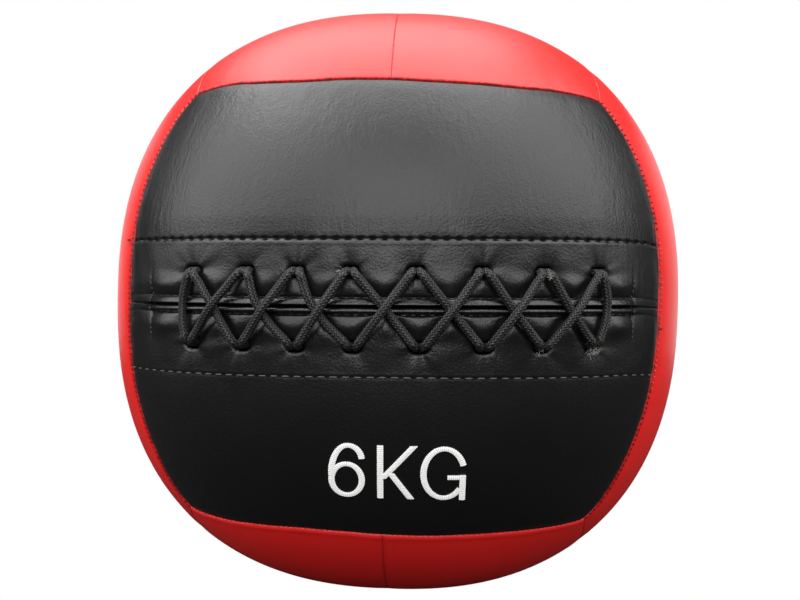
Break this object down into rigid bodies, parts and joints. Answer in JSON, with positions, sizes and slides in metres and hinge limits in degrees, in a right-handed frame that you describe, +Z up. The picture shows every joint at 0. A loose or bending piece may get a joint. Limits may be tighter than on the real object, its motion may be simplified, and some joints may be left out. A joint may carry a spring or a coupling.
{
  "type": "soft wall ball",
  "caption": "Soft weighted exercise ball of sewn leatherette panels, black at front and back and red elsewhere, with a crossed lace closing the front.",
  "frame": {"origin": "on the floor under the middle of the ball's bounding box", "axes": "+Z up through the ball, -Y out of the laced front, +X to the right of the front as it is seen"},
  "size_m": [0.3338, 0.345, 0.3424],
  "materials": {
    "black_leatherette": "grained synthetic leather, satin",
    "red_leatherette": "grained synthetic leather, satin",
    "grey_foam": "closed-cell foam, matt",
    "black_webbing": "woven webbing, matt",
    "black_cord": "braided cord, matt",
    "white_fibre": "packed textile fibre, matt",
    "canvas": "plain canvas, matt",
    "iron_sand": "packed iron sand, dull"
  },
  "bodies": {
    "root": {"front_upper_panel": "black_leatherette", "front_lower_panel": "black_leatherette", "back_upper_panel": "black_leatherette", "back_lower_panel": "black_leatherette", "top_left_panel": "red_leatherette", "top_right_panel": "red_leatherette", "bottom_left_panel": "red_leatherette", "bottom_right_panel": "red_leatherette", "left_front_panel": "red_leatherette", "left_back_panel": "red_leatherette", "right_front_panel": "red_leatherette", "right_back_panel": "red_leatherette", "front_upper_foam": "grey_foam", "front_lower_foam": "grey_foam", "back_upper_foam": "grey_foam", "back_lower_foam": "grey_foam", "top_left_foam": "grey_foam", "top_right_foam": "grey_foam", "bottom_left_foam": "grey_foam", "bottom_right_foam": "grey_foam", "left_front_foam": "grey_foam", "left_back_foam": "grey_foam", "right_front_foam": "grey_foam", "right_back_foam": "grey_foam", "upper_eyelet_facing": "black_webbing", "lower_eyelet_facing": "black_webbing", "closure_tongue": "black_webbing", "lace": "black_cord", "lace_start_knot": "black_cord", "lace_end_knot": "black_cord", "upper_fibre_filling": "white_fibre", "lower_fibre_filling": "white_fibre", "weight_bag": "canvas", "iron_sand": "iron_sand", "weight_bag_tie": "canvas"}
  },
  "joints": []
}
